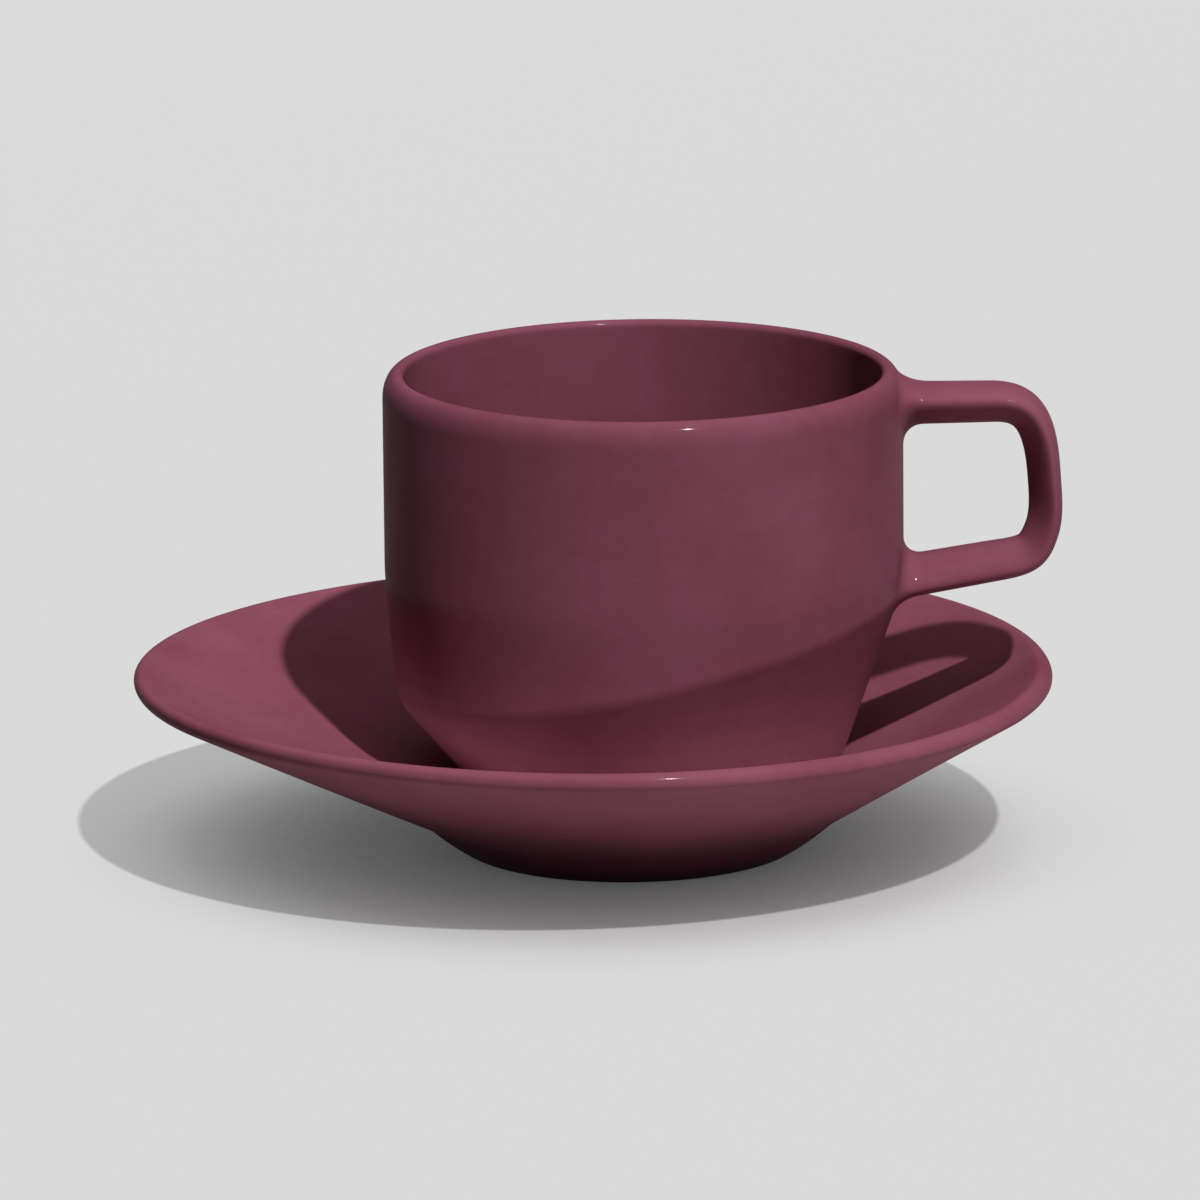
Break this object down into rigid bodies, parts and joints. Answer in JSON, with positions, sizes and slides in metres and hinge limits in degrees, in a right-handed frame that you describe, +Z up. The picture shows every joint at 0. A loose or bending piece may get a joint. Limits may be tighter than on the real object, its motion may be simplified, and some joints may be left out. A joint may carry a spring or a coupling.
{
  "type": "cup with saucer",
  "caption": "Glazed ceramic cup with a squared loop handle, standing in the well of a wide leaning saucer; the cup lifts off.",
  "frame": {"origin": "centre of the saucer's foot ring, on the face it stands on", "axes": "+Z up, +X towards the cup's handle, +Y to the back of the pictured view"},
  "size_m": [0.1537, 0.152, 0.08],
  "materials": {
    "glaze": "gloss",
    "foot": "gloss"
  },
  "bodies": {
    "saucer": {"saucer_dish": "glaze", "saucer_foot_ring": "foot"},
    "cup": {"cup_body": "glaze", "cup_foot_ring": "foot", "cup_handle": "glaze"}
  },
  "joints": [
    {"name": "cup_lift", "type": "slide", "parent": "saucer", "child": "cup", "axis": [0, 0, 1], "range_m": [0, 0.1]}
  ]
}
